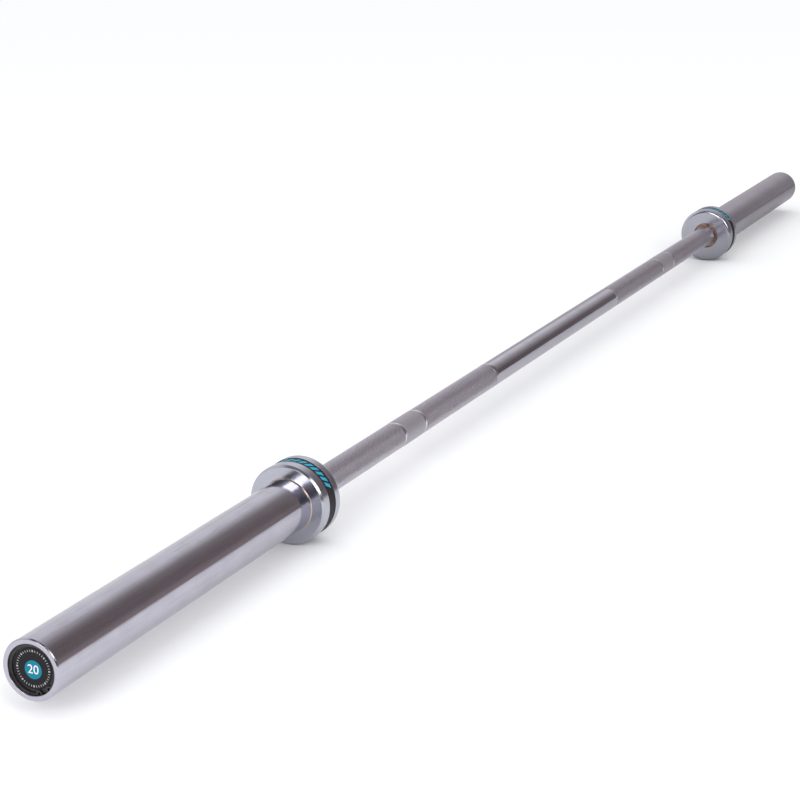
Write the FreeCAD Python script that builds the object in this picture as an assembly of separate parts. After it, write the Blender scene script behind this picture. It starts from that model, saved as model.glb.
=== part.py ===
import FreeCAD, Part
import math
import os

from FreeCAD import Vector

# Olympic barbell: a shaft with a free-turning sleeve on each end.
# The bar lies along X with its middle at the origin. Lengths are in millimetres.

# Overall layout along the bar
bar_length = 2200.0
collar_spacing = 1310.0  # between the faces of the two collars that face each other

# Shaft
shaft_diameter = 28.0
journal_diameter = 25.0  # turned-down ends that run inside the sleeves
shoulder_reach = 2.5  # how far the full shaft goes into the collar before its shoulder
shaft_end_chamfer = 1.0
centre_hole_diameter = 8.0  # lathe centre in each end
centre_hole_half_angle = 30.0  # degrees

# Plain ring marks on the grip, measured from ring to ring across the bar
outer_mark_spacing = 910.0
inner_mark_spacing = 810.0
mark_width = 5.0
mark_depth = 0.25

# Sleeve
sleeve_diameter = 50.0
sleeve_bore = 29.9  # leaves the wall that brings the whole bar to 20 kg
sleeve_end_chamfer = 1.0
sleeve_mouth_chamfer = 0.3
seat_step = 1.0  # how much smaller the sleeve is, per side, where the collar sits

# Collar
collar_diameter = 76.0
collar_width = 36.6
collar_bevel = 2.0  # on the side where plates rest
collar_round = 5.0  # on the side towards the hands
collar_hole_break = 0.6
mouth_clearance = 0.2  # between the bevelled mouth of its bore and the sleeve

# Inlaid band round the collar
band_width = 12.6
band_setback = 12.0  # from the face where plates rest
band_thickness = 1.2
band_recess = 0.4
band_side_clearance = 0.05

# Bronze bushes, the same flanged bush at both ends of a sleeve
bush_wall = 3.0
bush_length = 45.0
bush_flange_thickness = 4.0
bush_flange_rim = 1.75  # how far the flange stands out past the body
bush_lead = 0.6  # chamfer on the end that is pressed in
bush_seat_room = 0.5
flange_clearance = 0.2

# Thrust washer
washer_thickness = 2.0
washer_rim = 5.5  # radial width
washer_clearance = 0.15
washer_room = 1.0  # between the washer and the pocket round it

# Snap ring on the shaft
snap_groove_depth = 0.55
snap_ring_thickness = 1.2
snap_ring_width = 3.0  # opposite the gap
snap_tip_width = 2.0  # beside the lugs
snap_lug_radius = 2.2
snap_lug_hole = 2.0
snap_gap = 4.0
snap_land = 4.0  # shaft left outside the groove

# End cap, its badge and its retaining ring
cap_bore = 41.0
cap_length = 8.0
cap_front = 2.5
cap_wall = 2.0
cap_clearance = 0.1
cap_room = 4.0  # between the shaft's end and the cap
badge_thickness = 0.4
badge_clearance = 0.25  # to the eyes of the retaining ring
cap_ring_setback = 2.0  # from the sleeve's end
cap_ring_thickness = 1.75
cap_ring_width = 4.0
cap_ring_tip_width = 2.8
cap_ring_groove_depth = 1.25
cap_ring_lug_radius = 2.5
cap_ring_lug_hole = 2.2
cap_ring_gap = 5.0
cap_ring_turn = 210.0  # degrees from straight up to the gap

# Fits
running_clearance = 0.05  # bush on journal, radial
press_clearance = 0.02  # pressed pieces, drawn a hair apart
groove_clearance = 0.1  # spare width of a retaining ring's groove
end_play = 0.3  # at each end of a sleeve

# Radii
shaft_radius = shaft_diameter / 2
journal_radius = journal_diameter / 2
sleeve_radius = sleeve_diameter / 2
seat_radius = sleeve_radius - seat_step
collar_radius = collar_diameter / 2
collar_bore_radius = seat_radius + press_clearance
collar_mouth_radius = sleeve_radius + mouth_clearance
band_radius = collar_radius - band_recess
band_floor_radius = band_radius - band_thickness
bush_bore_radius = journal_radius + running_clearance
bush_radius = bush_bore_radius + bush_wall
flange_radius = bush_radius + bush_flange_rim
bush_seat_radius = bush_radius + press_clearance
collar_hole_radius = flange_radius + flange_clearance
washer_bore_radius = journal_radius + washer_clearance
washer_radius = washer_bore_radius + washer_rim
pocket_radius = washer_radius + washer_room
snap_groove_radius = journal_radius - snap_groove_depth
cap_bore_radius = cap_bore / 2
cap_radius = cap_bore_radius - cap_clearance
cap_groove_radius = cap_bore_radius + cap_ring_groove_depth
cap_ring_seat = cap_groove_radius - press_clearance
badge_radius = cap_ring_seat - 2 * cap_ring_lug_radius - badge_clearance

# Places along the right half, from the middle of the bar outwards
collar_inner_face = collar_spacing / 2
collar_outer_face = collar_inner_face + collar_width
band_outer_side = collar_outer_face - band_setback
band_inner_side = band_outer_side - band_width
shoulder_place = collar_inner_face + shoulder_reach
inner_flange_face = shoulder_place + end_play
sleeve_start = inner_flange_face + bush_flange_thickness
inner_seat_end = sleeve_start + bush_length + bush_seat_room

# Places along the right half, from the sleeve's open end inwards
sleeve_end = bar_length / 2
cap_ring_front = sleeve_end - cap_ring_setback
cap_ring_back = cap_ring_front - cap_ring_thickness
cap_floor = cap_ring_back - cap_length
shaft_end = cap_floor - cap_room
snap_groove_outer = shaft_end - snap_land
snap_ring_back = snap_groove_outer - snap_ring_thickness
washer_back = snap_ring_back - washer_thickness
outer_flange_face = washer_back - end_play
pocket_floor = outer_flange_face - bush_flange_thickness
outer_seat_end = pocket_floor - bush_length - bush_seat_room

axis = Vector(1, 0, 0)
middle = Vector(0, 0, 0)
full_turn = 360.0
half_turn = 180.0


# A closed outline of (place along the bar, radius) points, spun about the bar's axis.
def turned(outline):
    points = [Vector(along, 0, radius) for along, radius in outline]
    wire = Part.makePolygon(points + points[:1])
    return Part.Face(wire).revolve(middle, axis, full_turn)


# A plain tube between two places along the bar.
def tube(start, end, inner_radius, outer_radius):
    return turned([(start, inner_radius), (end, inner_radius), (end, outer_radius), (start, outer_radius)])


# The round edges of a turned piece that lie at one place with one radius.
def edges_at(shape, along, radius):
    found = []
    for edge in shape.Edges:
        curve = edge.Curve
        if isinstance(curve, Part.Circle):
            same_place = math.isclose(curve.Center.x, along, abs_tol=press_clearance)
            same_radius = math.isclose(curve.Radius, radius, abs_tol=press_clearance)
            if same_place and same_radius:
                found.append(edge)
    return found


def make_shaft():
    centre_radius = centre_hole_diameter / 2
    centre_depth = centre_radius / math.tan(math.radians(centre_hole_half_angle))
    groove_inner = snap_ring_back - groove_clearance
    half = [
        (0, 0),
        (0, shaft_radius),
        (shoulder_place, shaft_radius),
        (shoulder_place, journal_radius),
        (groove_inner, journal_radius),
        (groove_inner, snap_groove_radius),
        (snap_groove_outer, snap_groove_radius),
        (snap_groove_outer, journal_radius),
        (shaft_end - shaft_end_chamfer, journal_radius),
        (shaft_end, journal_radius - shaft_end_chamfer),
        (shaft_end, centre_radius),
        (shaft_end - centre_depth, 0),
    ]
    left_half = [(-along, radius) for along, radius in reversed(half)]
    shaft = turned(half[1:] + left_half[:-2])
    mark_radius = shaft_radius - mark_depth
    for spacing in (outer_mark_spacing, inner_mark_spacing):
        for side in (-1, 1):
            place = side * spacing / 2
            start = place - mark_width / 2
            shaft = shaft.cut(tube(start, start + mark_width, mark_radius, sleeve_radius))
    return shaft


def make_sleeve():
    return turned([
        (sleeve_start, bush_seat_radius),
        (inner_seat_end, bush_seat_radius),
        (inner_seat_end, sleeve_bore / 2),
        (outer_seat_end, sleeve_bore / 2),
        (outer_seat_end, bush_seat_radius),
        (pocket_floor, bush_seat_radius),
        (pocket_floor, pocket_radius),
        (cap_floor, pocket_radius),
        (cap_floor, cap_bore_radius),
        (cap_ring_back - groove_clearance, cap_bore_radius),
        (cap_ring_back - groove_clearance, cap_groove_radius),
        (cap_ring_front, cap_groove_radius),
        (cap_ring_front, cap_bore_radius),
        (sleeve_end - sleeve_mouth_chamfer, cap_bore_radius),
        (sleeve_end, cap_bore_radius + sleeve_mouth_chamfer),
        (sleeve_end, sleeve_radius - sleeve_end_chamfer),
        (sleeve_end - sleeve_end_chamfer, sleeve_radius),
        (collar_outer_face, sleeve_radius),
        (collar_outer_face, seat_radius),
        (sleeve_start, seat_radius),
    ])


# The collar is a cup: its bore takes the sleeve up to the sleeve's step, its mouth is bevelled to clear
# that step, and its lip stays clear round the shaft.
def make_collar():
    mouth_start = collar_outer_face - collar_mouth_radius + collar_bore_radius
    lip_face = sleeve_start - press_clearance
    body = turned([
        (collar_inner_face, collar_hole_radius),
        (lip_face, collar_hole_radius),
        (lip_face, collar_bore_radius),
        (mouth_start, collar_bore_radius),
        (collar_outer_face, collar_mouth_radius),
        (collar_outer_face, collar_radius),
        (collar_inner_face, collar_radius),
    ])
    body = body.makeFillet(collar_round, edges_at(body, collar_inner_face, collar_radius))
    body = body.makeChamfer(collar_bevel, edges_at(body, collar_outer_face, collar_radius))
    body = body.makeChamfer(collar_hole_break, edges_at(body, collar_inner_face, collar_hole_radius))
    return body.cut(tube(band_inner_side, band_outer_side, band_floor_radius, sleeve_diameter))


def make_collar_band():
    start = band_inner_side + band_side_clearance
    end = band_outer_side - band_side_clearance
    return tube(start, end, band_floor_radius + press_clearance, band_radius)


# A flanged bush from its flange face towards the middle of the sleeve; way is +1 or -1 along the bar.
def make_bush(flange_face, way):
    flange_back = flange_face + way * bush_flange_thickness
    body_end = flange_back + way * bush_length
    return turned([
        (flange_face, bush_bore_radius),
        (body_end, bush_bore_radius),
        (body_end, bush_radius - bush_lead),
        (body_end - way * bush_lead, bush_radius),
        (flange_back, bush_radius),
        (flange_back, flange_radius),
        (flange_face, flange_radius),
    ])


def make_inner_bush():
    return make_bush(inner_flange_face, 1)


def make_outer_bush():
    return make_bush(outer_flange_face, -1)


def make_thrust_washer():
    return tube(washer_back, snap_ring_back, washer_bore_radius, washer_radius)


# A sprung ring with tapered arms, a gap and two eyes. It grips a seat and grows outwards
# from it (grows is 1) or inwards (grows is -1). The gap starts at the top, then turns.
def make_retaining_ring(back, thickness, seat, grows, width, tip_width, lug_radius, lug_hole, gap, turn):
    arm = (width + tip_width) / 2
    shift = (width - tip_width) / 2
    free_radius = seat + grows * arm
    base = Vector(back, 0, 0)
    seat_disc = Part.makeCylinder(seat, thickness, base, axis)
    free_disc = Part.makeCylinder(free_radius, thickness, base - Vector(0, 0, grows * shift), axis)
    ring = free_disc.cut(seat_disc) if grows > 0 else seat_disc.cut(free_disc)
    lug_place = seat + grows * lug_radius
    lug_angle = math.asin((gap / 2 + lug_radius) / lug_place)
    centres = []
    for side in (-1, 1):
        sideways = side * lug_place * math.sin(lug_angle)
        centres.append(base + Vector(0, sideways, lug_place * math.cos(lug_angle)))
    gap_height = seat + width + lug_radius
    ring = ring.cut(Part.makeBox(thickness, gap, gap_height, base - Vector(0, gap / 2, 0)))
    for centre in centres:
        ring = ring.fuse(Part.makeCylinder(lug_radius, thickness, centre, axis))
    for centre in centres:
        ring = ring.cut(Part.makeCylinder(lug_hole / 2, thickness, centre, axis))
    ring = ring.removeSplitter()
    ring.rotate(middle, axis, turn)
    return ring


def make_snap_ring():
    seat = snap_groove_radius + press_clearance
    return make_retaining_ring(
        snap_ring_back, snap_ring_thickness, seat, 1, snap_ring_width, snap_tip_width,
        snap_lug_radius, snap_lug_hole, snap_gap, 0,
    )


def make_cap_ring():
    return make_retaining_ring(
        cap_ring_back, cap_ring_thickness, cap_ring_seat, -1, cap_ring_width, cap_ring_tip_width,
        cap_ring_lug_radius, cap_ring_lug_hole, cap_ring_gap, cap_ring_turn,
    )


# A cup with its open side towards the shaft, held between the sleeve's step and the ring.
def make_end_cap():
    inside = cap_radius - cap_wall
    return turned([
        (cap_ring_back, 0),
        (cap_ring_back, cap_radius),
        (cap_floor, cap_radius),
        (cap_floor, inside),
        (cap_ring_back - cap_front, inside),
        (cap_ring_back - cap_front, 0),
    ])


def make_end_badge():
    return Part.makeCylinder(badge_radius, badge_thickness, Vector(cap_ring_back, 0, 0), axis)


# Every piece of one end, drawn at the right and turned end for end for the left.
end_pieces = {
    "sleeve": make_sleeve,
    "collar": make_collar,
    "collar_band": make_collar_band,
    "inner_bush": make_inner_bush,
    "outer_bush": make_outer_bush,
    "thrust_washer": make_thrust_washer,
    "snap_ring": make_snap_ring,
    "end_cap": make_end_cap,
    "end_badge": make_end_badge,
    "cap_ring": make_cap_ring,
}

os.makedirs("parts", exist_ok=True)
make_shaft().exportStep("parts/shaft.step")
for name, make in end_pieces.items():
    piece = make()
    piece.exportStep("parts/right_" + name + ".step")
    piece.rotate(middle, Vector(0, 0, 1), half_turn)
    piece.exportStep("parts/left_" + name + ".step")
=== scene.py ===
import math
import bpy
import numpy as np
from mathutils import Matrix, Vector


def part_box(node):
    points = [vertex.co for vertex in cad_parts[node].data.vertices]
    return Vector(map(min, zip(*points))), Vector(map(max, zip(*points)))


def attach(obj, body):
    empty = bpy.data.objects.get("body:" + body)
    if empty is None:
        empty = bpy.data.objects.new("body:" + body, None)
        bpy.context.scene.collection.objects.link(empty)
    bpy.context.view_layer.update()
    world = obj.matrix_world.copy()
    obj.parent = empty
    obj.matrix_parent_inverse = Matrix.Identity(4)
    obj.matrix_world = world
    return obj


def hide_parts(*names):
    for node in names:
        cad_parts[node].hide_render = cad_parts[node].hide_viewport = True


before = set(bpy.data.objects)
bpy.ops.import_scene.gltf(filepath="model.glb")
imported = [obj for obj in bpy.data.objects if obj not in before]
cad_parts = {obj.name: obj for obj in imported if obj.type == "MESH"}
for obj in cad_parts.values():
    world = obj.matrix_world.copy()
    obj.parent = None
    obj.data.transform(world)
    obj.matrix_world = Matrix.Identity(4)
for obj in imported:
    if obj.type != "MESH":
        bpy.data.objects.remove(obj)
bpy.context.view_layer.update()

mm = 0.001  # outlines are in millimetres, meshes in metres
fullTurn = 2 * math.pi


def reach(node):
    # a node's start and end along the bar and its radius, in millimetres
    low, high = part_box(node)
    return round(low.x / mm, 3), round(high.x / mm, 3), round(high.z / mm, 3)


# Places and radii of the shaft and of the right end
shaftEnd, gripRadius = reach("shaft")[1:]
collarStart, collarFace, collarRadius = reach("right_collar")
bandStart, bandEnd, bandRadius = reach("right_collar_band")
sleeveStart, sleeveEnd, sleeveRadius = reach("right_sleeve")
innerBushStart, innerBushEnd = reach("right_inner_bush")[:2]
outerBushStart, outerBushEnd = reach("right_outer_bush")[:2]
washerRadius = reach("right_thrust_washer")[2]
snapRingStart, snapRingEnd = reach("right_snap_ring")[:2]
capStart, capEnd, capRadius = reach("right_end_cap")
capRingStart, capRingEnd, capRingRadius = reach("right_cap_ring")
badgeBack, badgeFront, badgeRadius = reach("right_end_badge")


# Meshes from whole arrays
def makePiece(name, points, faceSets, smooth=None):
    # points is (n, 3) in metres, faceSets is a list of (m, 3) and (m, 4) index arrays
    points = np.asarray(points, float)
    volume = sum(signedVolume(points, faces) for faces in faceSets)
    if volume < 0:  # turn the faces outwards
        faceSets = [faces[:, ::-1] for faces in faceSets]
    corners = np.concatenate([faces.ravel() for faces in faceSets])
    sizes = np.concatenate([np.full(len(faces), faces.shape[1]) for faces in faceSets])
    starts = np.cumsum(sizes) - sizes
    mesh = bpy.data.meshes.new(name)
    mesh.vertices.add(len(points))
    mesh.vertices.foreach_set("co", points.astype(np.float32).ravel())
    mesh.loops.add(len(corners))
    mesh.loops.foreach_set("vertex_index", corners.astype(np.int32))
    mesh.polygons.add(len(sizes))
    mesh.polygons.foreach_set("loop_start", starts.astype(np.int32))
    flags = np.ones(len(sizes), bool) if smooth is None else smooth
    mesh.polygons.foreach_set("use_smooth", flags)
    mesh.update(calc_edges=True)
    piece = bpy.data.objects.new(name, mesh)
    bpy.context.scene.collection.objects.link(piece)
    return piece


def signedVolume(points, faces):
    # a sixth of the sum of a . (b x c) over the fan of triangles of each face
    total = 0.0
    for k in range(1, faces.shape[1] - 1):
        a, b, c = points[faces[:, 0]], points[faces[:, k]], points[faces[:, k + 1]]
        total += float(np.einsum("ij,ij->", a, np.cross(b, c))) / 6
    return total


def gridFaces(rows, columns, closeRows=False, closeColumns=False):
    # quads of a grid whose point (i, j) has the index i * columns + j
    rowCount = rows if closeRows else rows - 1
    columnCount = columns if closeColumns else columns - 1
    i, j = np.meshgrid(np.arange(rowCount), np.arange(columnCount), indexing="ij")
    row, nextRow = i * columns, (i + 1) % rows * columns
    nextColumn = (j + 1) % columns
    return np.stack([row + j, nextRow + j, nextRow + nextColumn, row + nextColumn], -1).reshape(-1, 4)


def poleFans(rings, segments):
    # triangles from the first and last ring of a spun grid to the two pole points that follow it
    ring = np.arange(segments)
    after = (ring + 1) % segments
    startPole, lastRing = rings * segments, (rings - 1) * segments
    startFan = np.stack([np.full(segments, startPole), ring, after], -1)
    endFan = np.stack([np.full(segments, startPole + 1), lastRing + after, lastRing + ring], -1)
    return [startFan, endFan]


def soften(corners, steps=4, mostCut=0.35, flank=1.35, samePoint=1e-6):
    # corners is a closed outline of (along, radius, cut): each corner becomes the curve
    # (1-t)^2 start + 2t(1-t) corner + t^2 end, with one more point on each flank, a share of the cut
    # further out; a corner whose cut is 0 stays one point, and no cut takes more than mostCut of a side
    corners = np.asarray(corners, float)
    place, cut = corners[:, :2], corners[:, 2:]
    before = np.roll(place, 1, 0) - place
    after = np.roll(place, -1, 0) - place
    lengthBefore = np.linalg.norm(before, axis=1, keepdims=True)
    lengthAfter = np.linalg.norm(after, axis=1, keepdims=True)
    cut = np.minimum(cut, mostCut * np.minimum(lengthBefore, lengthAfter))
    start = place + before / lengthBefore * cut
    end = place + after / lengthAfter * cut
    t = np.linspace(0, 1, steps + 1)[None, :, None]
    curve = (1 - t) ** 2 * start[:, None] + 2 * t * (1 - t) * place[:, None] + t ** 2 * end[:, None]
    flankIn = place + before / lengthBefore * cut * flank
    flankOut = place + after / lengthAfter * cut * flank
    outline = np.concatenate([flankIn[:, None], curve, flankOut[:, None]], 1).reshape(-1, 2)
    apart = np.linalg.norm(outline - np.roll(outline, 1, 0), axis=1) > samePoint
    return outline[apart]


def fillRuns(outline, longest):
    # adds points along straight runs, so that no step of a closed outline is longer than this
    loop = np.concatenate([outline, outline[:1]])
    steps = np.linalg.norm(np.diff(loop, axis=0), axis=1)
    walked = np.concatenate([[0], np.cumsum(steps)])
    counts = np.maximum(1, np.ceil(steps / longest)).astype(int)
    share = np.concatenate([np.arange(n) / n for n in counts])
    at = np.repeat(walked[:-1], counts) + share * np.repeat(steps, counts)
    return np.stack([np.interp(at, walked, loop[:, 0]), np.interp(at, walked, loop[:, 1])], 1)


def aroundBar(along, radius, angle):
    # point = (along, radius * cos(angle), radius * sin(angle)), angle from +Y towards +Z
    along, radius, angle = np.broadcast_arrays(along, radius, angle)
    return np.stack([along, radius * np.cos(angle), radius * np.sin(angle)], -1) * mm


def turnedRing(name, corners, segments, longest):
    # a closed outline (along u, radius u) spun once round the bar: a grid closed both ways
    outline = fillRuns(soften(corners), longest)
    angle = np.arange(segments) * fullTurn / segments
    points = aroundBar(outline[:, :1], outline[:, 1:], angle[None])
    return makePiece(name, points.reshape(-1, 3), [gridFaces(len(outline), segments, True, True)])


def poleToPole(outline, segments):
    # an open outline whose first and last points lie on the bar's axis, spun round it and
    # closed with a fan of triangles at each pole
    outline = np.asarray(outline, float)
    angle = np.arange(segments) * fullTurn / segments
    body = aroundBar(outline[1:-1, :1], outline[1:-1, 1:], angle[None]).reshape(-1, 3)
    poles = aroundBar(outline[[0, -1], 0], 0.0, 0.0)
    rings = len(outline) - 2
    faceSets = [gridFaces(rings, segments, closeColumns=True)] + poleFans(rings, segments)
    return np.concatenate([body, poles]), faceSets


def flat(faceSets):
    # the flags of a piece none of whose faces is smooth
    return np.zeros(sum(len(faces) for faces in faceSets), bool)


def shells(name, top, under):
    # many small closed patches at once: top and under are (pieces, rows, columns, 3)
    pieces, rows, columns = top.shape[:3]
    size = rows * columns
    points = np.concatenate([top.reshape(pieces, size, 3), under.reshape(pieces, size, 3)], 1)
    cell = gridFaces(rows, columns)
    rim = np.concatenate([
        np.arange(rows) * columns,
        (rows - 1) * columns + np.arange(1, columns),
        (np.arange(rows - 1) * columns + columns - 1)[::-1],
        np.arange(1, columns - 1)[::-1],
    ])
    nextRim = np.roll(rim, -1)
    edges = np.stack([nextRim, rim, rim + size, nextRim + size], -1)
    one = np.concatenate([cell, cell[:, ::-1] + size, edges])
    faces = (one[None] + (np.arange(pieces) * 2 * size)[:, None, None]).reshape(-1, 4)
    return makePiece(name, points.reshape(-1, 3), [faces], flat([faces]))


def turnEndForEnd(piece):
    # half a turn about +Z carries a piece from the right end to the left end
    places = np.zeros(len(piece.data.vertices) * 3, np.float32)
    piece.data.vertices.foreach_get("co", places)
    places = places.reshape(-1, 3) * np.array([-1, -1, 1], np.float32)
    piece.data.vertices.foreach_set("co", places.ravel())
    piece.data.update()
    return piece


# Shader pieces
colourA, colourB, colourOut = 6, 7, 2  # sockets of a Mix node that mixes colours
noiseMiddle = (0.3, 0.7)  # most values of a noise texture lie between these
grainHeight = 0.0001  # of a fine grain's bump, in metres
grainDetail = 4.0


def newMaterial(name, **sockets):
    material = bpy.data.materials.new(name)
    material.use_nodes = True
    shader = material.node_tree.nodes["Principled BSDF"]
    for key, value in sockets.items():
        shader.inputs[key.replace("_", " ")].default_value = value
    return material, material.node_tree.nodes, material.node_tree.links, shader


def addGroup(nodes, tree, **values):
    group = nodes.new("ShaderNodeGroup")
    group.node_tree = tree
    for key, value in values.items():
        group.inputs[key].default_value = value
    return group


def mathNode(nodes, links, operation, first, second=None, clamp=False):
    node = nodes.new("ShaderNodeMath")
    node.operation = operation
    node.use_clamp = clamp
    for socket, value in zip(node.inputs, (first, second)):
        if value is None:
            continue
        if isinstance(value, (int, float)):
            socket.default_value = value
        else:
            links.new(value, socket)
    return node.outputs[0]


def mixColours(nodes, links, factor, first, second):
    # first and second are colours, or the sockets that give them
    node = nodes.new("ShaderNodeMix")
    node.data_type = "RGBA"
    links.new(factor, node.inputs["Factor"])
    for socket, value in ((node.inputs[colourA], first), (node.inputs[colourB], second)):
        if isinstance(value, tuple):
            socket.default_value = (*value, 1)
        else:
            links.new(value, socket)
    return node.outputs[colourOut]


def spread(nodes, links, value, low, high, toLow, toHigh):
    node = nodes.new("ShaderNodeMapRange")
    links.new(value, node.inputs["Value"])
    for key, number in (("From Min", low), ("From Max", high), ("To Min", toLow), ("To Max", toHigh)):
        node.inputs[key].default_value = number
    return node.outputs["Result"]


def noise(nodes, links, place, scale, detail=2.0):
    node = nodes.new("ShaderNodeTexNoise")
    node.inputs["Scale"].default_value = scale
    node.inputs["Detail"].default_value = detail
    links.new(place, node.inputs["Vector"])
    return node.outputs[0]


def bumpFrom(nodes, links, height, strength, distance, shader):
    bump = nodes.new("ShaderNodeBump")
    bump.inputs["Strength"].default_value = strength
    bump.inputs["Distance"].default_value = distance
    links.new(height, bump.inputs["Height"])
    links.new(bump.outputs["Normal"], shader.inputs["Normal"])


def placeOf(nodes):
    return nodes.new("ShaderNodeTexCoord").outputs["Object"]


def newGroup(name, inputs, outputs):
    tree = bpy.data.node_groups.new(name, "ShaderNodeTree")
    for socketName, kind in inputs.items():
        tree.interface.new_socket(socketName, in_out="INPUT", socket_type="NodeSocket" + kind)
    for socketName, kind in outputs.items():
        tree.interface.new_socket(socketName, in_out="OUTPUT", socket_type="NodeSocket" + kind)
    return tree, tree.nodes.new("NodeGroupInput"), tree.nodes.new("NodeGroupOutput")


polish = {
    "stretch": (0.04, 1.0, 1.0),  # draws the noise out along the bar
    "streakDetail": 3.0,
    "cloudScale": 38.0,
    "cloudDetail": 4.0,
    "glossRange": (0.12, 0.42),  # of streaks times clouds, that the gloss follows
    "toneRange": (0.15, 0.4),
    "streakHeight": 0.0002,
}


def makeStreakGroup():
    # fine polishing lines that run along the bar, plus broad cloudy patches
    inputs = {"Position": "Vector", "Fineness": "Float"}
    tree, source, sink = newGroup("polishStreaks", inputs, {"Streaks": "Float", "Clouds": "Float"})
    nodes, links = tree.nodes, tree.links
    stretch = nodes.new("ShaderNodeVectorMath")
    stretch.operation = "MULTIPLY"
    stretch.inputs[1].default_value = polish["stretch"]
    links.new(source.outputs["Position"], stretch.inputs[0])
    streak = nodes.new("ShaderNodeTexNoise")
    streak.inputs["Detail"].default_value = polish["streakDetail"]
    links.new(stretch.outputs[0], streak.inputs["Vector"])
    links.new(source.outputs["Fineness"], streak.inputs["Scale"])
    links.new(streak.outputs[0], sink.inputs["Streaks"])
    clouds = noise(nodes, links, source.outputs["Position"], polish["cloudScale"], polish["cloudDetail"])
    links.new(clouds, sink.inputs["Clouds"])
    return tree


def makeRadiusGroup():
    # distance from the bar's axis and place along it, in millimetres
    outputs = {"Radius": "Float", "Along": "Float"}
    tree, source, sink = newGroup("axisDistance", {"Position": "Vector"}, outputs)
    nodes, links = tree.nodes, tree.links
    split = nodes.new("ShaderNodeSeparateXYZ")
    links.new(source.outputs[0], split.inputs[0])
    ySquare = mathNode(nodes, links, "MULTIPLY", split.outputs[1], split.outputs[1])
    zSquare = mathNode(nodes, links, "MULTIPLY", split.outputs[2], split.outputs[2])
    radius = mathNode(nodes, links, "SQRT", mathNode(nodes, links, "ADD", ySquare, zSquare))
    links.new(mathNode(nodes, links, "MULTIPLY", radius, 1 / mm), sink.inputs["Radius"])
    links.new(mathNode(nodes, links, "MULTIPLY", split.outputs[0], 1 / mm), sink.inputs["Along"])
    return tree


streakGroup = makeStreakGroup()
radiusGroup = makeRadiusGroup()


def polishedChrome(name, fineness, rough, bump, tone, shade):
    # mirror chrome: the streaks and clouds vary its gloss and tone a little
    material, nodes, links, shader = newMaterial(name, Metallic=1.0)
    streaks = addGroup(nodes, streakGroup, Fineness=fineness)
    links.new(placeOf(nodes), streaks.inputs["Position"])
    both = mathNode(nodes, links, "MULTIPLY", streaks.outputs["Streaks"], streaks.outputs["Clouds"])
    links.new(spread(nodes, links, both, *polish["glossRange"], *rough), shader.inputs["Roughness"])
    level = spread(nodes, links, both, *polish["toneRange"], 0.0, 1.0)
    links.new(mixColours(nodes, links, level, tone, shade), shader.inputs["Base Color"])
    bumpFrom(nodes, links, streaks.outputs["Streaks"], bump, polish["streakHeight"], shader)
    return material


knurlFinish = {
    # the two tones below: painted shade down in the grooves, painted light on the peaks
    "grooveShadeTone": (0.41, 0.385, 0.435),
    "peakLitTone": (0.80, 0.765, 0.86),
    "speckScale": 460.0,
    "speckDetail": 1.0,
    "speck": (-0.16, 0.16),  # shifts the tone from place to place
    "fineness": 900.0,
    "rough": (0.36, 0.46),  # in the grooves
    "worn": -0.16,  # added to that at the peaks
}


def knurledChrome(floorRadius, peakRadius):
    # satin chrome on the diamonds: painted shade darkens the grooves and painted light brightens the
    # peaks; it is also rougher down in the grooves, and worn unevenly
    material, nodes, links, shader = newMaterial("knurledChrome", Metallic=1.0)
    place = placeOf(nodes)
    distance = addGroup(nodes, radiusGroup)
    links.new(place, distance.inputs["Position"])
    height = spread(nodes, links, distance.outputs["Radius"], floorRadius, peakRadius, 0.0, 1.0)
    specks = noise(nodes, links, place, knurlFinish["speckScale"], knurlFinish["speckDetail"])
    shift = spread(nodes, links, specks, *noiseMiddle, *knurlFinish["speck"])
    level = mathNode(nodes, links, "ADD", height, shift, clamp=True)
    # painted shade in the grooves, painted light on the peaks, chosen by the radius
    tone = mixColours(nodes, links, level, knurlFinish["grooveShadeTone"], knurlFinish["peakLitTone"])
    links.new(tone, shader.inputs["Base Color"])
    streaks = addGroup(nodes, streakGroup, Fineness=knurlFinish["fineness"])
    links.new(place, streaks.inputs["Position"])
    grain = spread(nodes, links, streaks.outputs["Clouds"], *noiseMiddle, *knurlFinish["rough"])
    worn = mathNode(nodes, links, "MULTIPLY", height, knurlFinish["worn"])
    links.new(mathNode(nodes, links, "ADD", grain, worn), shader.inputs["Roughness"])
    return material


satinFinish = {
    "tone": (0.63, 0.61, 0.66),
    "shade": (0.55, 0.53, 0.58),
    "rough": (0.66, 0.76),
    "grainScale": 2600.0,
    "bump": 0.15,
}


def satinChrome():
    # the blasted zone between two ring marks: an even fine grain
    material, nodes, links, shader = newMaterial("satinChrome", Metallic=1.0)
    grain = noise(nodes, links, placeOf(nodes), satinFinish["grainScale"])
    rough = spread(nodes, links, grain, *noiseMiddle, *satinFinish["rough"])
    links.new(rough, shader.inputs["Roughness"])
    tone = mixColours(nodes, links, grain, satinFinish["shade"], satinFinish["tone"])
    links.new(tone, shader.inputs["Base Color"])
    bumpFrom(nodes, links, grain, satinFinish["bump"], grainHeight, shader)
    return material


turnedFinish = {
    "tone": (0.515, 0.525, 0.59),
    "shade": (0.455, 0.46, 0.52),
    "rough": (0.15, 0.21),
    "stretch": 0.15,  # of the gloss, across the lines
    "stretchTurn": 0.25,
    "lineScale": 3.2,
    "lineDetail": 2.0,
    "cornerTone": (0.64, 0.47, 0.37),
    "cornerReach": (0.04, 0.3),  # past the collar's face
}


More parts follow.
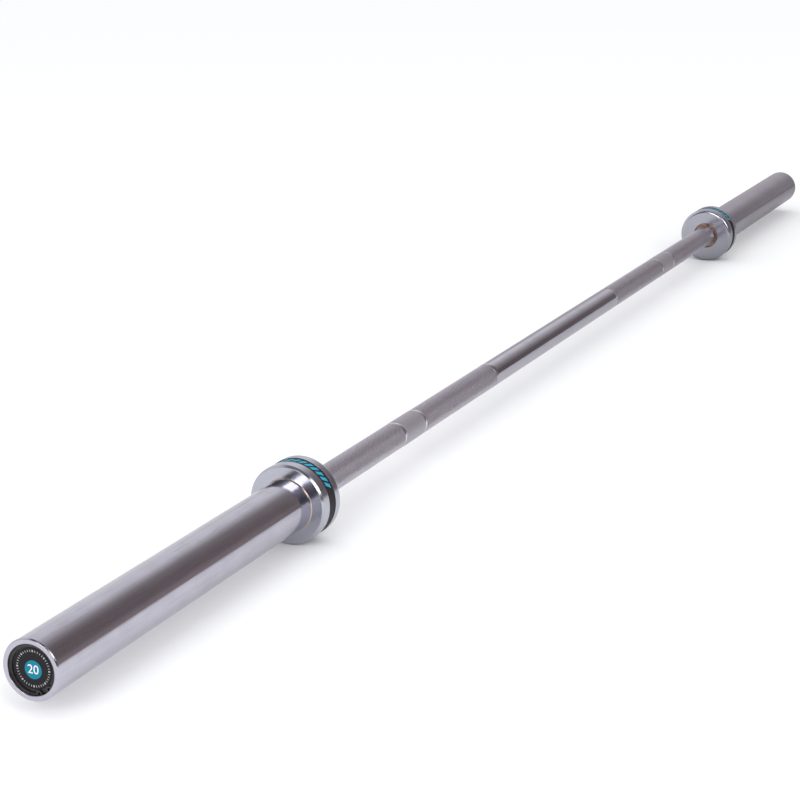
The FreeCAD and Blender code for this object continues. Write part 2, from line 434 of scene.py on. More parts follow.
def turnedChrome():
    # lathe lines round the axis: gloss is stretched across the lines, and each line differs a little;
    # the corner that stands out past the collar's face is tinted a warm tan
    stretch, turn = turnedFinish["stretch"], turnedFinish["stretchTurn"]
    material, nodes, links, shader = newMaterial(
        "turnedChrome", Metallic=1.0, Anisotropic=stretch, Anisotropic_Rotation=turn
    )
    tangent = nodes.new("ShaderNodeTangent")
    tangent.direction_type = "RADIAL"
    tangent.axis = "X"
    links.new(tangent.outputs[0], shader.inputs["Tangent"])
    distance = addGroup(nodes, radiusGroup)
    links.new(placeOf(nodes), distance.inputs["Position"])
    lines = nodes.new("ShaderNodeTexNoise")
    lines.noise_dimensions = "1D"
    lines.inputs["Scale"].default_value = turnedFinish["lineScale"]
    lines.inputs["Detail"].default_value = turnedFinish["lineDetail"]
    walked = mathNode(nodes, links, "ADD", distance.outputs["Radius"], distance.outputs["Along"])
    links.new(walked, lines.inputs["W"])
    rough = spread(nodes, links, lines.outputs[0], *noiseMiddle, *turnedFinish["rough"])
    links.new(rough, shader.inputs["Roughness"])
    plate = mixColours(nodes, links, lines.outputs[0], turnedFinish["shade"], turnedFinish["tone"])
    out = mathNode(nodes, links, "ABSOLUTE", distance.outputs["Along"])
    cornerStart, cornerEnd = (collarFace + past for past in turnedFinish["cornerReach"])
    corner = spread(nodes, links, out, cornerStart, cornerEnd, 0.0, 1.0)
    tone = mixColours(nodes, links, corner, plate, turnedFinish["cornerTone"])
    links.new(tone, shader.inputs["Base Color"])
    return material


def plainFinish(name, tone, shade, rough, grainScale, bump, metal=0.0, specular=0.5):
    # a cast, moulded or printed finish: two tones and the gloss follow one fine grain
    material, nodes, links, shader = newMaterial(name, Metallic=metal, Specular_IOR_Level=specular)
    grain = noise(nodes, links, placeOf(nodes), grainScale, grainDetail)
    level = spread(nodes, links, grain, *noiseMiddle, 0.0, 1.0)
    links.new(mixColours(nodes, links, level, shade, tone), shader.inputs["Base Color"])
    links.new(spread(nodes, links, grain, *noiseMiddle, *rough), shader.inputs["Roughness"])
    bumpFrom(nodes, links, grain, bump, grainHeight, shader)
    return material


plainFinishes = {  # tone, shade, roughness, grain scale, bump, metal, specular level
    "blackInlay": ((0.018, 0.017, 0.021), (0.012, 0.011, 0.014), (0.5, 0.65), 900.0, 0.12, 0.0, 0.25),
    "blackPlastic": ((0.02, 0.019, 0.021), (0.012, 0.011, 0.013), (0.4, 0.55), 1200.0, 0.1),
    "badgeFilm": ((0.012, 0.011, 0.0145), (0.009, 0.008, 0.011), (0.35, 0.45), 1500.0, 0.04, 0.0, 0.18),
    "tealPrint": ((0.004, 0.19, 0.28), (0.003, 0.165, 0.245), (0.4, 0.5), 1500.0, 0.04, 0.0, 0.18),
    "bandTealPrint": ((0.004, 0.33, 0.50), (0.003, 0.28, 0.43), (0.5, 0.6), 1500.0, 0.04),
    "whitePrint": ((0.82, 0.78, 0.77), (0.74, 0.70, 0.70), (0.4, 0.5), 1500.0, 0.04),
    "tickPrint": ((0.42, 0.40, 0.40), (0.34, 0.32, 0.32), (0.4, 0.5), 1500.0, 0.04),
    # bushBronze: bronze whose dark tone is painted shade for the recess down in the collar's hole
    "bushBronze": ((0.66, 0.40, 0.26), (0.17, 0.115, 0.09), (0.3, 0.45), 210.0, 0.08, 1.0),
    "washerSteel": ((0.50, 0.49, 0.48), (0.42, 0.41, 0.40), (0.28, 0.4), 700.0, 0.06, 1.0),
    "springSteel": ((0.075, 0.07, 0.075), (0.045, 0.042, 0.045), (0.35, 0.5), 700.0, 0.1, 0.85),
}
polishedFinishes = {  # fineness of the streaks, roughness, bump, tone, shade
    "sleeveChrome": (700.0, (0.10, 0.18), 0.06, (0.502, 0.490, 0.560), (0.443, 0.427, 0.489)),
    "gripChrome": (900.0, (0.07, 0.16), 0.06, (0.502, 0.490, 0.560), (0.443, 0.427, 0.489)),
    "markChrome": (900.0, (0.06, 0.12), 0.03, (0.72, 0.70, 0.74), (0.64, 0.62, 0.66)),
}
finishes = {name: plainFinish(name, *values) for name, values in plainFinishes.items()}
finishes.update({name: polishedChrome(name, *values) for name, values in polishedFinishes.items()})
finishes.update(satinChrome=satinChrome(), turnedChrome=turnedChrome())
print("finishes made:", len(finishes))


def dress(piece, body, slot, *finishNames):
    for finishName in finishNames:
        piece.data.materials.append(finishes[finishName])
    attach(piece, body)
    return piece


# Shaft: one turned bar with real diamonds on the grip
shaft = {
    "diamondsAround": 48,
    "diamondLength": 3.2,  # along the bar
    "knurlDepth": 0.36,
    "plainRadius": 13.93,
    "middleEnd": 210.0,
    "innerMark": 405.0,  # middle of each ring mark
    "outerMark": 455.0,
    "markWidth": 5.0,
    "markRadius": 13.75,
    "knurlEnd": 652.0,
    "edge": 0.25,  # width of the small bevels beside marks and knurl
    "edgeDrop": 0.12,
    "edgeGap": 0.02,
    "longest": 8.0,  # step along plain zones
    "endPlay": 0.3,  # from the shoulder to the inner bush
    "shoulderEdge": 0.05,
    "journalRadius": 12.5,
    "journalMiddle": 860.0,
    "grooveRadius": 11.95,  # under the snap ring
    "grooveRoom": 0.1,  # beside it
    "endChamfer": 1.0,
    "centreRadius": 4.0,
    "centreDepth": 6.93,
}
shoulder = innerBushStart - shaft["endPlay"]
finishes["knurledChrome"] = knurledChrome(gripRadius - shaft["knurlDepth"], gripRadius)
gripKind, knurlKind, satinKind, markKind = 0, 1, 2, 3  # material slots of the shaft


def knurlZone(start, end):
    # stations half a diamond apart, each (along, radius, depth, kind); both ends lie at its floor
    count = int(round((end - start) / shaft["diamondLength"])) * 2
    along = np.linspace(start, end, count + 1)
    radius = np.full(count + 1, gripRadius)
    depth = np.full(count + 1, shaft["knurlDepth"])
    radius[[0, -1]] -= shaft["knurlDepth"]
    depth[[0, -1]] = 0
    return np.stack([along, radius, depth, np.full(count + 1, knurlKind)], 1)


def plainZone(start, end, radius, kind):
    # a plain turned zone with a small bevel at both ends
    edge, gap = shaft["edge"], shaft["edgeGap"]
    count = max(2, int(math.ceil((end - start - 2 * edge) / shaft["longest"])) + 1)
    along = np.concatenate([[start + gap], np.linspace(start + edge, end - edge, count), [end - gap]])
    level = np.full(len(along), radius)
    level[[0, -1]] -= shaft["edgeDrop"]
    return np.stack([along, level, 0 * along, np.full(len(along), kind)], 1)


def hiddenZone():
    # the journal inside the sleeve: shoulder, ring groove, end chamfer and lathe centre
    journal, groove, chamfer = shaft["journalRadius"], shaft["grooveRadius"], shaft["endChamfer"]
    grooveStart = snapRingStart - shaft["grooveRoom"]
    outline = np.array([
        (shoulder, shaft["plainRadius"]), (shoulder, journal), (shaft["journalMiddle"], journal),
        (grooveStart, journal), (grooveStart, groove), (snapRingEnd, groove), (snapRingEnd, journal),
        (shaftEnd - chamfer, journal), (shaftEnd, journal - chamfer), (shaftEnd, shaft["centreRadius"]),
        (shaftEnd - shaft["centreDepth"], 0.0),
    ])
    return np.concatenate([outline, np.zeros((len(outline), 2))], 1)


def shaftStations():
    # the zones from the middle to the right end, then the same mirrored to the left
    halfMark = shaft["markWidth"] / 2
    innerStart, innerEnd = shaft["innerMark"] - halfMark, shaft["innerMark"] + halfMark
    outerStart, outerEnd = shaft["outerMark"] - halfMark, shaft["outerMark"] + halfMark
    plain, mark = shaft["plainRadius"], shaft["markRadius"]
    half = np.concatenate([
        plainZone(0.0, shaft["middleEnd"], plain, gripKind)[1:],
        knurlZone(shaft["middleEnd"], innerStart),
        plainZone(innerStart, innerEnd, mark, markKind),
        plainZone(innerEnd, outerStart, plain, satinKind),
        plainZone(outerStart, outerEnd, mark, markKind),
        knurlZone(outerEnd, shaft["knurlEnd"]),
        plainZone(shaft["knurlEnd"], shoulder - shaft["shoulderEdge"], plain, gripKind),
        hiddenZone(),
    ])
    return np.concatenate([half[::-1] * np.array([-1, 1, 1, 1]), half])


def makeShaft():
    # point (i, j) = (along i, radius of (i, j) * cos and sin of angle j); on the grip the radius drops
    # by the knurl depth wherever i + j is even, and each cell is split along its two low corners,
    # which leaves diamonds
    along, radius, depth, kind = shaftStations().T
    segments, rings = 2 * shaft["diamondsAround"], len(along) - 2
    i, j = np.meshgrid(np.arange(rings), np.arange(segments), indexing="ij")
    low = (i + j) % 2 == 0
    level = radius[1:-1, None] - depth[1:-1, None] * low
    body = aroundBar(along[1:-1, None], level, j * fullTurn / segments).reshape(-1, 3)
    poles = aroundBar(along[[0, -1]], 0.0, 0.0)
    cells = gridFaces(rings, segments, closeColumns=True).reshape(rings - 1, segments, 4)
    gripRow = (depth[1:-2] + depth[2:-1]) > 0
    plainCells = cells[~gripRow].reshape(-1, 4)
    a, b, c, d = np.moveaxis(cells[gripRow], -1, 0)
    even = low[:-1][gripRow][..., None]
    oneSide = np.where(even, np.stack([a, b, c], -1), np.stack([a, b, d], -1))
    otherSide = np.where(even, np.stack([a, c, d], -1), np.stack([b, c, d], -1))
    gripCells = np.concatenate([oneSide.reshape(-1, 3), otherSide.reshape(-1, 3)])
    cellKind = np.minimum(kind[1:-2], kind[2:-1])[~gripRow]
    plainKinds = np.repeat(np.where(cellKind >= satinKind, cellKind, gripKind), segments)
    gripKinds, fanKinds = np.full(len(gripCells), knurlKind), np.full(2 * segments, gripKind)
    slots = np.concatenate([plainKinds, gripKinds, fanKinds])
    faceSets = [plainCells, gripCells] + poleFans(rings, segments)
    piece = makePiece("shaft_turned", np.concatenate([body, poles]), faceSets, slots != knurlKind)
    dress(piece, "bar", "knurled_chrome", "gripChrome", "knurledChrome", "satinChrome", "markChrome")
    piece.data.polygons.foreach_set("material_index", slots.astype(np.int32))
    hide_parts("shaft")
    print("shaft:", len(gripCells) // 4, "diamonds,", len(plainCells) * 2 + len(gripCells), "triangles")


makeShaft()


# One end of the bar, drawn at the right and turned for the left
sleeve = {
    "segments": 192,
    "longest": 12.0,  # step along straight runs
    "softness": 0.18,
    "seatRadius": 24.0,  # where the collar sits
    "boreRadius": 14.95,
    "bushSeatRadius": 15.57,
    "bushRoom": 0.5,  # of each bush's seat, past the bush
    "flange": 4.0,  # thickness of the outer bush's flange
    "pocketRoom": 1.0,  # round the thrust washer
    "capRoom": 0.1,  # round the end cap
    "grooveRoom": 0.1,  # beside the cap ring
    "grooveDepth": 0.02,  # past it
    "mouthChamfer": 0.3,
    "endChamfer": 1.0,
}


def makeSleeve(side, body):
    # the whole wall as one closed outline: bore and seats, pocket, cap bore, ring groove, end, outside
    bore, bushSeat, seat = sleeve["boreRadius"], sleeve["bushSeatRadius"], sleeve["seatRadius"]
    innerSeatEnd, outerSeatStart = innerBushEnd + sleeve["bushRoom"], outerBushStart - sleeve["bushRoom"]
    pocketStart, pocket = outerBushEnd - sleeve["flange"], washerRadius + sleeve["pocketRoom"]
    capBore, groove = capRadius + sleeve["capRoom"], capRingRadius + sleeve["grooveDepth"]
    grooveStart = capRingStart - sleeve["grooveRoom"]
    mouth, chamfer = sleeve["mouthChamfer"], sleeve["endChamfer"]
    outline = [
        (sleeveStart, bushSeat), (innerSeatEnd, bushSeat), (innerSeatEnd, bore), (outerSeatStart, bore),
        (outerSeatStart, bushSeat), (pocketStart, bushSeat), (pocketStart, pocket), (capStart, pocket),
        (capStart, capBore), (grooveStart, capBore), (grooveStart, groove), (capRingEnd, groove),
        (capRingEnd, capBore), (sleeveEnd - mouth, capBore), (sleeveEnd, capBore + mouth),
        (sleeveEnd, sleeveRadius - chamfer), (sleeveEnd - chamfer, sleeveRadius),
        (collarFace, sleeveRadius), (collarFace, seat), (sleeveStart, seat),
    ]
    corners = [(along, radius, sleeve["softness"]) for along, radius in outline]
    piece = turnedRing(side + "_sleeve_turned", corners, sleeve["segments"], sleeve["longest"])
    return dress(piece, body, "polished_chrome", "sleeveChrome")


collar = {
    "segments": 224,
    "longest": 2.5,
    "fineEdge": 0.1,
    "softEdge": 0.22,
    "bevel": 2.0,
    "round": 5.0,
    "roundPoints": 15,
    "holeRadius": 17.5,
    "holeBreak": 0.6,
    "lip": 6.78,
    "boreRadius": 24.02,
    "hollow": 1.2,  # small concave fillet where the face meets the sleeve
    "bandGap": 0.05,
    "bandFloor": 36.4,
}


def makeCollar(side, body):
    # a closed outline: hole, bore, hollow, flat face, bevel, band groove, round. The hollow and the
    # round are quarter circles: start + radius * (1 - sine), start + radius * (1 - cosine)
    fine, soft, bevel = collar["fineEdge"], collar["softEdge"], collar["bevel"]
    lipFace = collarStart + collar["lip"]
    grooveStart, grooveEnd = bandStart - collar["bandGap"], bandEnd + collar["bandGap"]
    inside = [
        (collarStart, collar["holeRadius"] + collar["holeBreak"], fine),
        (collarStart + collar["holeBreak"], collar["holeRadius"], fine),
        (lipFace, collar["holeRadius"], fine), (lipFace, collar["boreRadius"], fine),
        (collarFace - fine, collar["boreRadius"], 0.0), (collarFace - fine, sleeveRadius - fine, 0.0),
        (collarFace + collar["hollow"], sleeveRadius - fine, 0.0),
    ]
    quarter = np.linspace(0, math.pi / 2, collar["roundPoints"])
    rise, fall = 1 - np.sin(quarter), 1 - np.cos(quarter)
    hollow = np.stack([
        collarFace + collar["hollow"] * rise, sleeveRadius + collar["hollow"] * fall, 0 * quarter
    ], 1)
    rim = [
        (collarFace, collarRadius - bevel, soft), (collarFace - bevel, collarRadius, soft),
        (grooveEnd, collarRadius, soft), (grooveEnd, collar["bandFloor"], fine),
        (grooveStart, collar["bandFloor"], fine), (grooveStart, collarRadius, soft),
    ]
    arc = np.stack([
        collarStart + collar["round"] * rise, collarRadius - collar["round"] * fall, 0 * quarter
    ], 1)
    corners = np.concatenate([np.array(inside), hollow, np.array(rim), arc])
    piece = turnedRing(side + "_collar_turned", corners, collar["segments"], collar["longest"])
    return dress(piece, body, "turned_chrome", "turnedChrome")


band = {"segments": 192, "longest": 3.0, "floorRadius": 36.42, "softness": 0.15}


def makeBand(side, body):
    # a flat strip bent round the collar: a rectangle spun round the bar
    low, soft = band["floorRadius"], band["softness"]
    outline = [(bandStart, low), (bandEnd, low), (bandEnd, bandRadius), (bandStart, bandRadius)]
    corners = [(along, radius, soft) for along, radius in outline]
    piece = turnedRing(side + "_band_inlay", corners, band["segments"], band["longest"])
    return dress(piece, body, "black_inlay", "blackInlay")


bandBars = {
    "count": 9,
    "arc": math.radians(88),  # that the row of bars spans
    "barShare": 0.62,  # of the pitch
    "height": 6.8,  # along the bar
    "slant": math.radians(3.2),
    "proud": 0.06,
    "points": (7, 3),  # round and along the bar
    "facing": {"left": math.radians(70.5), "right": math.radians(103)},  # middle of a row
}


def makeBandBars(side, body):
    # a bar is a patch of the band: angle = start + u * width + slant * v and
    # along = middle + v * height / 2, raised a little, with its under side left inside the band
    pointsRound, pointsAlong = bandBars["points"]
    u, v = np.meshgrid(np.linspace(0, 1, pointsRound), np.linspace(-1, 1, pointsAlong), indexing="ij")
    pitch = bandBars["arc"] / bandBars["count"]
    order = np.arange(bandBars["count"]) - bandBars["count"] / 2
    first = bandBars["facing"][side] + order * pitch
    starts = np.concatenate([first, first + math.pi])
    angle = starts[:, None, None] + (u * bandBars["barShare"] * pitch + v * bandBars["slant"])[None]
    along = (bandStart + bandEnd) / 2 + v * bandBars["height"] / 2
    top = aroundBar(along, bandRadius + bandBars["proud"], angle)
    under = aroundBar(along, bandRadius - bandBars["proud"], angle)
    return dress(shells(side + "_band_bars", top, under), body, "badge_print", "bandTealPrint")


endCap = {"segments": 128, "wall": 2.0, "front": 2.5, "edge": 0.4}


def makeEndCap(side, body):
    # a cup, open towards the shaft, spun from pole to pole
    edge, inside, back = endCap["edge"], capRadius - endCap["wall"], capEnd - endCap["front"]
    outline = [
        (capEnd, 0.0), (capEnd, capRadius - edge), (capEnd - edge, capRadius), (capStart, capRadius),
        (capStart, inside), (back, inside), (back, 0.0),
    ]
    points, faceSets = poleToPole(outline, endCap["segments"])
    piece = makePiece(side + "_cap_cup", points, faceSets, flat(faceSets))
    return dress(piece, body, "black_plastic", "blackPlastic")


badge = {
    "segments": 128,
    "rim": 0.2,  # width of the rounded edge
    "rimShape": ((0.6, 0.0), (0.15, 0.3), (0.0, 1.0), (0.0, 4.0)),  # its points back and in, in rims
    "discRadius": 7.4,
    "discRise": -0.9,
    "proud": 0.05,  # of each printed layer
    "number": "20",  # the bar's weight in kilograms
    "numberSize": 10.0,
    "ticks": 40,
    "tickIn": 13.2,
    "tickOut": 14.8,
    "tickWidth": 0.5,
    "wideTickWidth": 1.2,
    "wideTickEvery": 5,
}


def makeBadge(side, body):
    # a thin disc with a rounded edge, spun from pole to pole
    rim = badge["rim"]
    edge = [(badgeFront - back * rim, badgeRadius - inward * rim) for back, inward in badge["rimShape"]]
    outline = [(badgeBack, 0.0), (badgeBack, badgeRadius), *edge, (badgeFront, 0.0)]
    piece = makePiece(side + "_badge_film", *poleToPole(outline, badge["segments"]))
    return dress(piece, body, "badge_print", "badgeFilm")


def makeBadgeDisc(side, body):
    # a flat disc on the badge, its middle a little below the axis
    low, high, radius = badgeFront - badge["proud"], badgeFront + badge["proud"], badge["discRadius"]
    outline = [(low, 0.0), (low, radius), (high, radius), (high, 0.0)]
    points, faceSets = poleToPole(outline, badge["segments"])
    points[:, 2] += badge["discRise"] * mm
    piece = makePiece(side + "_badge_disc", points, faceSets, flat(faceSets))
    return dress(piece, body, "badge_print", "tealPrint")


def makeBadgeTicks(side, body):
    # short radial bars in a ring, some of them wide
    order = np.arange(badge["ticks"])
    turn = (order * fullTurn / badge["ticks"])[:, None, None]
    wide = order % badge["wideTickEvery"] == 0
    width = np.where(wide, badge["wideTickWidth"], badge["tickWidth"])[:, None, None]
    u, v = np.meshgrid([-0.5, 0.5], [badge["tickIn"], badge["tickOut"]], indexing="ij")
    y = v * np.cos(turn) - u * width * np.sin(turn)
    z = v * np.sin(turn) + u * width * np.cos(turn)
    top = np.stack([0 * y + badgeFront + badge["proud"], y, z], -1) * mm
    under = np.stack([0 * y + badgeFront - badge["proud"], y, z], -1) * mm
    return dress(shells(side + "_badge_ticks", top, under), body, "badge_print", "tickPrint")


def makeBadgeNumber(side, body):
    # a thin raised mesh of the number: text x goes to +Y, text y to +Z
    curve = bpy.data.curves.new("badgeNumber", "FONT")
    curve.body = badge["number"]
    curve.size = badge["numberSize"]
    curve.align_x, curve.align_y = "CENTER", "CENTER"
    curve.extrude = badge["proud"]
    writer = bpy.data.objects.new("badgeNumberWriter", curve)
    bpy.context.scene.collection.objects.link(writer)
    bpy.context.view_layer.update()
    mesh = bpy.data.meshes.new_from_object(writer.evaluated_get(bpy.context.evaluated_depsgraph_get()))
    bpy.data.objects.remove(writer)
    mesh.materials.clear()
    places = np.zeros(len(mesh.vertices) * 3, np.float32)
    mesh.vertices.foreach_get("co", places)
    x, y, z = places.reshape(-1, 3).T
    turned = np.stack([z + badgeFront + 2 * badge["proud"], x, y + badge["discRise"]], 1) * mm
    mesh.vertices.foreach_set("co", turned.astype(np.float32).ravel())
    mesh.update()
    piece = bpy.data.objects.new(side + "_badge_number", mesh)
    bpy.context.scene.collection.objects.link(piece)
    return dress(piece, body, "badge_print", "whitePrint")


endMakers = {  # each maker and the solid that its piece stands for
    makeSleeve: "sleeve", makeCollar: "collar", makeBand: "collar_band", makeBandBars: None,
    makeEndCap: "end_cap", makeBadge: "end_badge", makeBadgeDisc: None, makeBadgeTicks: None,
    makeBadgeNumber: None,
}
for side in ("left", "right"):
    for make, nodeName in endMakers.items():
        piece = make(side, side + "_sleeve_group")
        if side == "left":
            turnEndForEnd(piece)
        if nodeName:
            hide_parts(side + "_" + nodeName)
    print(side, "end made:", len(endMakers), "pieces")

# solids that already have their shape keep it and get a finish
keptSolids = {
    "inner_bush": "bushBronze", "outer_bush": "bushBronze", "thrust_washer": "washerSteel",
    "snap_ring": "springSteel", "cap_ring": "springSteel",
}
for nodeName, finishName in keptSolids.items():
    for side in ("left", "right"):
        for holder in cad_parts[side + "_" + nodeName].material_slots:
            holder.material = finishes[finishName]
print("kept solids finished:", 2 * len(keptSolids))


# Studio
studio = {
    "floorLevel": -collarRadius * mm,
    "floorReach": 60.0,
    "floorPoints": 9,
    "floorRough": 0.9,
    "floorTone": (0.97, 0.97, 0.97),
    "floorNear": (0.945, 0.945, 0.945),  # painted light in reflections: its tone towards the lamps
    "floorFar": (0.228, 0.205, 0.214),  # and away from them, where the painted light has fallen
    "fallAlong": (-1.0, 2.0),  # where that tone starts and ends its fall
    "paintedSideLift": 0.28,  # painted light: of that tone, on the +Y side of the right half, leaving the -Y side in painted shadow of the bar
    "liftAlong": (-0.5, 0.3),
    "liftAcross": (-0.06, 0.06),
    "skyTone": (0.97, 0.98, 1.0, 1),
    "skyStrength": 1.0,
    "frontLamp": {"place": (-3.7, 0.14, 1.55), "size": (1.3, 1.2), "power": 26.5},
    "sideLamp": {"place": (-4.2, -4.1, 3.5), "size": (3.0, 3.0), "power": 66.0},
    "stripLamp": {"place": (-2.48, -3.36, 2.01), "size": (0.3, 2.0), "power": 16.0},
}


def makeFloor():
    # a level square of two parameters, pale to the eye; in reflections its tone is painted light that
    # falls along the bar, away from the lamps, and is lifted on the +Y side, leaving painted shadow of
    # the bar at -Y
    count = studio["floorPoints"]
    span = np.linspace(-studio["floorReach"], studio["floorReach"], count)
    x, y = np.meshgrid(span, span, indexing="ij")
    points = np.stack([x, y, 0 * x + studio["floorLevel"]], -1).reshape(-1, 3)
    floor = makePiece("floor", points, [gridFaces(count, count)])
    material, nodes, links, shader = newMaterial(
        "floorPaper", Roughness=studio["floorRough"], Specular_IOR_Level=0.0
    )
    split = nodes.new("ShaderNodeSeparateXYZ")
    links.new(placeOf(nodes), split.inputs[0])
    # reflections only: painted light that falls along the bar, and painted shadow of the bar on the -Y
    # side
    share = spread(nodes, links, split.outputs[0], *studio["fallAlong"], 0.0, 1.0)
    fall = mixColours(nodes, links, share, studio["floorNear"], studio["floorFar"])
    farther = spread(nodes, links, split.outputs[0], *studio["liftAlong"], 0.0, studio["paintedSideLift"])
    beside = spread(nodes, links, split.outputs[1], *studio["liftAcross"], 0.0, 1.0)
    lift = mathNode(nodes, links, "ADD", mathNode(nodes, links, "MULTIPLY", farther, beside), 1.0)
    lifted = nodes.new("ShaderNodeVectorMath")
    lifted.operation = "SCALE"
    links.new(fall, lifted.inputs[0])
    links.new(lift, lifted.inputs["Scale"])
    mirrored = nodes.new("ShaderNodeLightPath").outputs["Is Glossy Ray"]
    paper = mixColours(nodes, links, mirrored, studio["floorTone"], lifted.outputs["Vector"])
    links.new(paper, shader.inputs["Base Color"])
    floor.data.materials.append(material)


def easeBetween(value, low, high):
    # 0 below low, 1 above high, 3t^2 - 2t^3 between
    t = np.clip((value - low) / (high - low), 0, 1)
    return t * t * (3 - 2 * t)


def window(value, edges):
    # rises over the first two edges and falls over the last two
    return easeBetween(value, *edges[:2]) * (1 - easeBetween(value, *edges[2:]))


def mixTones(first, second, share):
    # (1 - share) * first + share * second, with one share for each point
    share = share[..., None]
    return (1 - share) * np.array(first) + share * np.array(second)


def makeGlow(name, points, faces, tone):
    # a glowing surface that lights nothing and that only reflections see, each point with its own tone:
    # a painted reflection of the studio
    piece = makePiece(name, points.reshape(-1, 3), [faces])
    attribute = piece.data.color_attributes.new("tone", "FLOAT_COLOR", "POINT")
    colours = np.concatenate([tone.reshape(-1, 3), np.ones((tone.size // 3, 1))], 1)
    attribute.data.foreach_set("color", colours.astype(np.float32).ravel())
    material = bpy.data.materials.new(name + "Cloth")
    material.use_nodes = True
    nodes, links = material.node_tree.nodes, material.node_tree.links
    nodes.clear()
    reader = nodes.new("ShaderNodeAttribute")
    reader.attribute_name = "tone"
    glow = nodes.new("ShaderNodeEmission")
    links.new(reader.outputs["Color"], glow.inputs["Color"])
    links.new(glow.outputs[0], nodes.new("ShaderNodeOutputMaterial").inputs["Surface"])
    piece.data.materials.append(material)
    for ray in ("camera", "diffuse", "shadow", "volume_scatter"):
        setattr(piece, "visible_" + ray, False)


wall = {  # heights and places in metres, azimuths and elevations in degrees
    "columns": 180,
    "rows": 60,
    "middle": -2.2,  # along the bar
    "radii": (6.2, 7.0, 6.0),
    "foot": -0.002,  # radians, the lowest row is just under the floor
    "top": 1.54,  # radians
    "crowding": 1.6,  # the rows lie closer low down
    "sweep": (0.92, 0.92, 0.94),  # pale paper ahead
    "sweepStart": -150,
    "sweepEnd": (131, 145),
    "lean": 0.4,  # its fading edge moves this far towards +Y for each metre up
    "fadeAt": (-2.25, -1.05, 0.35, 1.0),  # along Y, at the fade's height
    "fadeHeight": 1.75,
    "fadeLevel": (0.0, 0.14, 0.8, 1.0),
    "lowShade": (0.57, 0.535, 0.555),  # share of the light left low down on the sweep
    "lowHeight": (0.8, 1.6),
    "lowEnd": (25, 45),
    "leastSweep": 0.02,  # level from which a point counts as part of the sweep
    "right": (0.214, 0.179, 0.175),
    "rightEdges": (-150, -110, 20, 30),
    "nearFloorLift": 0.5,  # of the dark walls' tone, towards -Y
    "nearFloorEdges": (30, 42, 100, 130),
    "nearFloorHeight": (0.5, 1.5),
    "back": (0.09, 0.088, 0.10),
    "ceilingBack": (0.27, 0.27, 0.29),
    "ceilingAhead": (0.66, 0.62, 0.65),
    "ceilingAlong": (-2.6, 0.6),  # from the one to the other
    "ceilingFrom": (44, 60),
    "halos": [  # painted glows beside the front lamp: where each rises and falls
        {"tone": (0.52, 0.52, 0.54), "azimuth": (154, 162, 172, 180), "elevation": (6, 14, 46, 56)},
        {"tone": (0.45, 0.45, 0.47), "azimuth": (-171, -165, -156, -149), "elevation": (16, 25, 36, 45)},
    ],
}


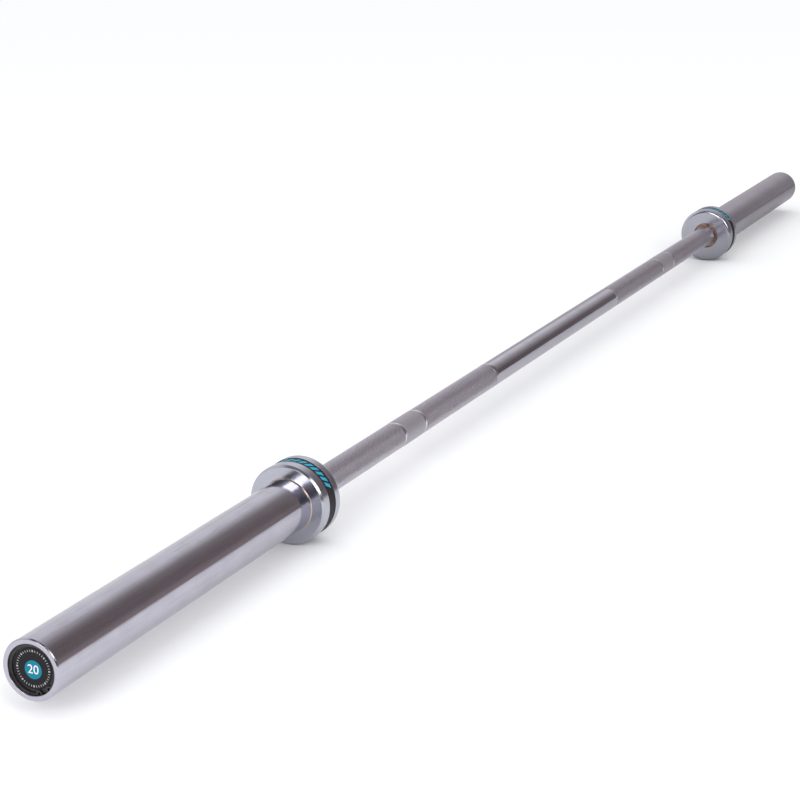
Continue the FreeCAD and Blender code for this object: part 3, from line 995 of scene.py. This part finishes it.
def makeStudioWall():
    # a half egg round the studio that glows with a painted reflection: its tone is a pale sweep ahead
    # that fades in three ramps towards -Y, dark walls at the right and behind, a dim ceiling, less light
    # low down, and painted glows beside the front lamp
    columns, rows = wall["columns"], wall["rows"]
    turn = np.linspace(0, fullTurn, columns, endpoint=False)
    climb = np.linspace(0, 1, rows - 1) ** wall["crowding"] * wall["top"]
    a, e = np.meshgrid(turn, np.concatenate([[wall["foot"]], climb]), indexing="ij")
    lengthwise, sideways, upwards = wall["radii"]
    x = wall["middle"] + lengthwise * np.cos(e) * np.cos(a)
    y = sideways * np.cos(e) * np.sin(a)
    z = upwards * np.sin(e) + studio["floorLevel"]
    az = np.degrees(np.arctan2(y, x))
    el = np.degrees(np.arctan2(z, np.hypot(x, y)))
    across = y - wall["lean"] * (z - wall["fadeHeight"])
    ahead = np.interp(across, wall["fadeAt"], wall["fadeLevel"])
    ahead = ahead * (1 - easeBetween(az, *wall["sweepEnd"])) * (az > wall["sweepStart"])
    lit = np.maximum(easeBetween(z, *wall["lowHeight"]), easeBetween(az, *wall["lowEnd"]))
    low = mixTones(wall["lowShade"], (1, 1, 1), lit)
    dark = mixTones(wall["back"], wall["right"], window(az, wall["rightEdges"]))
    nearFloor = window(-az, wall["nearFloorEdges"]) * (1 - easeBetween(z, *wall["nearFloorHeight"]))
    dark = dark * (1 + wall["nearFloorLift"] * nearFloor)[..., None]
    tone = mixTones(dark, wall["sweep"], ahead)
    tone = tone * np.where(ahead[..., None] > wall["leastSweep"], low, 1)
    over = easeBetween(x, *wall["ceilingAlong"])
    ceiling = mixTones(wall["ceilingBack"], wall["ceilingAhead"], over)
    tone = mixTones(tone, ceiling, easeBetween(el, *wall["ceilingFrom"]))
    for halo in wall["halos"]:
        inside = window(az, halo["azimuth"]) * window(el, halo["elevation"])
        tone = mixTones(tone, halo["tone"], inside)
    faces = gridFaces(columns, rows, closeRows=True)
    makeGlow("studioWall", np.stack([x, y, z], -1), faces, tone)


def makeLamp(name):
    lamp = studio[name]
    light = bpy.data.lights.new(name, "AREA")
    light.shape = "RECTANGLE"
    light.size, light.size_y = lamp["size"]
    light.energy = lamp["power"]
    holder = bpy.data.objects.new(name, light)
    bpy.context.scene.collection.objects.link(holder)
    x, y, z = lamp["place"]
    lean = math.acos(z / math.sqrt(x * x + y * y + z * z))
    holder.location = lamp["place"]
    holder.rotation_euler = (lean, 0, math.atan2(y, x) + math.pi / 2)  # its face looks at the origin
    holder.visible_camera = False


def makeSky():
    # white to the eye, to metal and to glass; a plain soft level for everything else
    world = bpy.data.worlds.new("studioSky")
    world.use_nodes = True
    nodes, links = world.node_tree.nodes, world.node_tree.links
    sky = nodes["Background"]
    sky.inputs["Color"].default_value = studio["skyTone"]
    path = nodes.new("ShaderNodeLightPath")
    seen = mathNode(nodes, links, "ADD", path.outputs["Is Camera Ray"], path.outputs["Is Glossy Ray"])
    seen = mathNode(nodes, links, "ADD", seen, path.outputs["Is Transmission Ray"], clamp=True)
    links.new(spread(nodes, links, seen, 0.0, 1.0, studio["skyStrength"], 1.0), sky.inputs["Strength"])
    bpy.context.scene.world = world


view = {
    "place": (-2.26395, -0.82401, 0.60923),
    "yaw": 0.424664,  # from +X towards +Y
    "pitch": -0.280039,
    "lens": 92.777,
    "sensor": 36.0,
    "clip": (0.05, 200.0),
}


def makeCamera():
    camera = bpy.data.cameras.new("camera")
    camera.sensor_width = view["sensor"]
    camera.lens = view["lens"]
    camera.clip_start, camera.clip_end = view["clip"]
    holder = bpy.data.objects.new("camera", camera)
    holder.location = view["place"]
    holder.rotation_euler = (math.pi / 2 + view["pitch"], 0, view["yaw"] - math.pi / 2)
    bpy.context.scene.collection.objects.link(holder)
    bpy.context.scene.camera = holder


makeFloor()
makeStudioWall()
for lampName in ("frontLamp", "sideLamp", "stripLamp"):
    makeLamp(lampName)
makeSky()
makeCamera()
bpy.context.scene.view_settings.view_transform = "Standard"
print("studio made")
